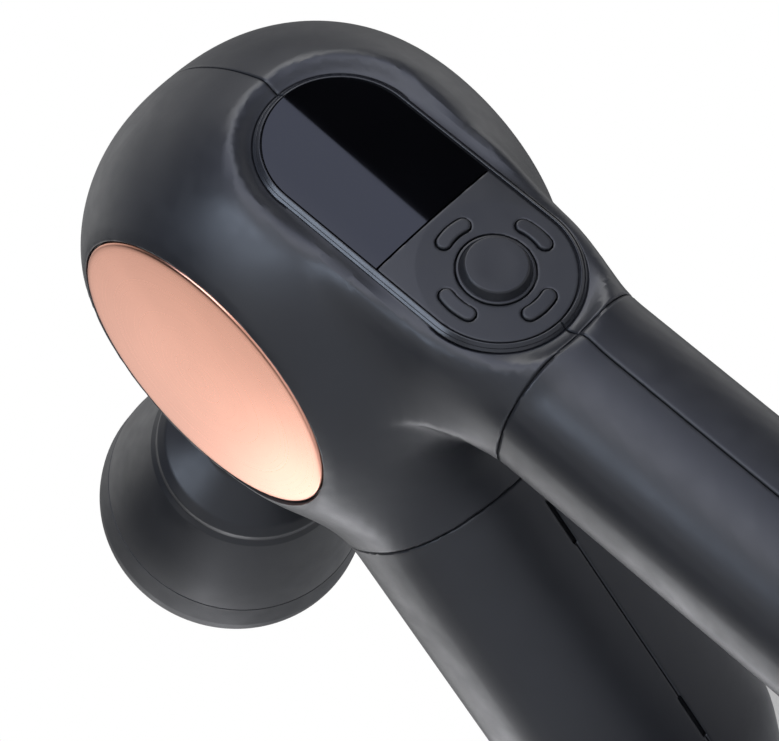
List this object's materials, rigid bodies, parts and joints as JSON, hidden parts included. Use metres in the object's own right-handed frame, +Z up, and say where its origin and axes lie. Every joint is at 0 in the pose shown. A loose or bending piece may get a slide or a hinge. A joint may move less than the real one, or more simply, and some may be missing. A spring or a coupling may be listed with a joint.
{
  "type": "percussive massager",
  "caption": "Handheld percussive massager with a round barrel head, metal side caps, rear control panel, three-arm loop handle and a round massage head on a reciprocating shaft.",
  "frame": {"origin": "on the floor under the centre of the overall bounding box; the base arm's flat underside is at z = 0", "axes": "+Z up when it stands on the base arm, -X along the hammer's stroke towards the massage head, Y along the motor's axis"},
  "size_m": [0.1994, 0.0662, 0.221],
  "materials": {
    "shell": "fine-grained satin soft-touch",
    "grip": "soft-touch coat",
    "copper": "spun, rose-copper anodised satin",
    "glass": "polished black",
    "plate": "satin",
    "button": "satin",
    "steel": "ground",
    "alloy": "die cast",
    "winding": "enamelled copper wire on laminations",
    "bronze": "sintered",
    "board": "solder mask",
    "cell": null,
    "frame_plastic": "moulded",
    "rubber": "matte",
    "foam": "dense closed-cell foam"
  },
  "bodies": {
    "housing": {"head_shell_left": "shell", "head_shell_right": "shell", "grip_shell_left": "grip", "grip_shell_right": "grip", "housing_screw_1": "steel", "housing_screw_2": "steel", "housing_screw_3": "steel", "housing_screw_4": "steel", "housing_screw_5": "steel", "side_cap_left": "copper", "side_cap_right": "copper", "display_window": "glass", "control_plate": "plate", "display_module": "glass", "control_board": "board", "keypad_mat": "rubber", "motor_stator": "winding", "motor_bearing": "steel", "motor_frame": "alloy", "vibration_mount_1": "rubber", "vibration_mount_2": "rubber", "vibration_mount_3": "rubber", "vibration_mount_4": "rubber", "frame_screw_1": "steel", "frame_screw_2": "steel", "frame_screw_3": "steel", "frame_screw_4": "steel", "guide_bush": "bronze", "shaft_wiper": "rubber", "battery_cell_1": "cell", "battery_cell_2": "cell", "battery_cell_3": "cell", "battery_cell_4": "cell", "battery_holder_upper": "frame_plastic", "battery_holder_lower": "frame_plastic", "battery_board": "board", "drive_board": "board", "charge_port": "steel", "charge_board": "board"},
    "centre_button": {"centre_button": "button"},
    "key_up": {"key_up": "button"},
    "key_down": {"key_down": "button"},
    "key_left": {"key_left": "button"},
    "key_right": {"key_right": "button"},
    "crank": {"motor_can": "steel", "motor_shaft": "steel", "crank_disc": "steel"},
    "hammer": {"percussion_shaft": "steel", "wrist_pin": "steel", "retaining_ring": "rubber"},
    "rod": {"connecting_rod": "alloy", "big_end_bearing": "steel", "crank_pin": "steel"},
    "attachment": {"attachment_hub": "frame_plastic", "attachment_pad": "foam"}
  },
  "joints": [
    {"name": "centre_button_press", "type": "slide", "parent": "housing", "child": "centre_button", "axis": [-0.9857, 0, -0.1685], "range_m": [0, 0.0004], "stiffness_N_per_m": 400},
    {"name": "key_up_press", "type": "slide", "parent": "housing", "child": "key_up", "axis": [-0.9857, 0, -0.1685], "range_m": [0, 0.0004], "stiffness_N_per_m": 400},
    {"name": "key_down_press", "type": "slide", "parent": "housing", "child": "key_down", "axis": [-0.9857, 0, -0.1685], "range_m": [0, 0.0004], "stiffness_N_per_m": 400},
    {"name": "key_left_press", "type": "slide", "parent": "housing", "child": "key_left", "axis": [-0.9857, 0, -0.1685], "range_m": [0, 0.0004], "stiffness_N_per_m": 400},
    {"name": "key_right_press", "type": "slide", "parent": "housing", "child": "key_right", "axis": [-0.9857, 0, -0.1685], "range_m": [0, 0.0004], "stiffness_N_per_m": 400},
    {"name": "motor_spin", "type": "hinge", "parent": "housing", "child": "crank", "pos_m": [0.0343, 0, 0.176], "axis": [0, 1, 0], "continuous": true},
    {"name": "hammer_stroke", "type": "slide", "parent": "housing", "child": "hammer", "axis": [-1, 0, 0], "range_m": [0, 0.012]},
    {"name": "rod_swing", "type": "hinge", "parent": "hammer", "child": "rod", "pos_m": [0.0083, 0, 0.176], "axis": [0, 1, 0], "range_deg": [-10.5, 10.5]},
    {"name": "attachment_pull", "type": "slide", "parent": "hammer", "child": "attachment", "axis": [-1, 0, 0], "range_m": [0, 0.03]}
  ]
}
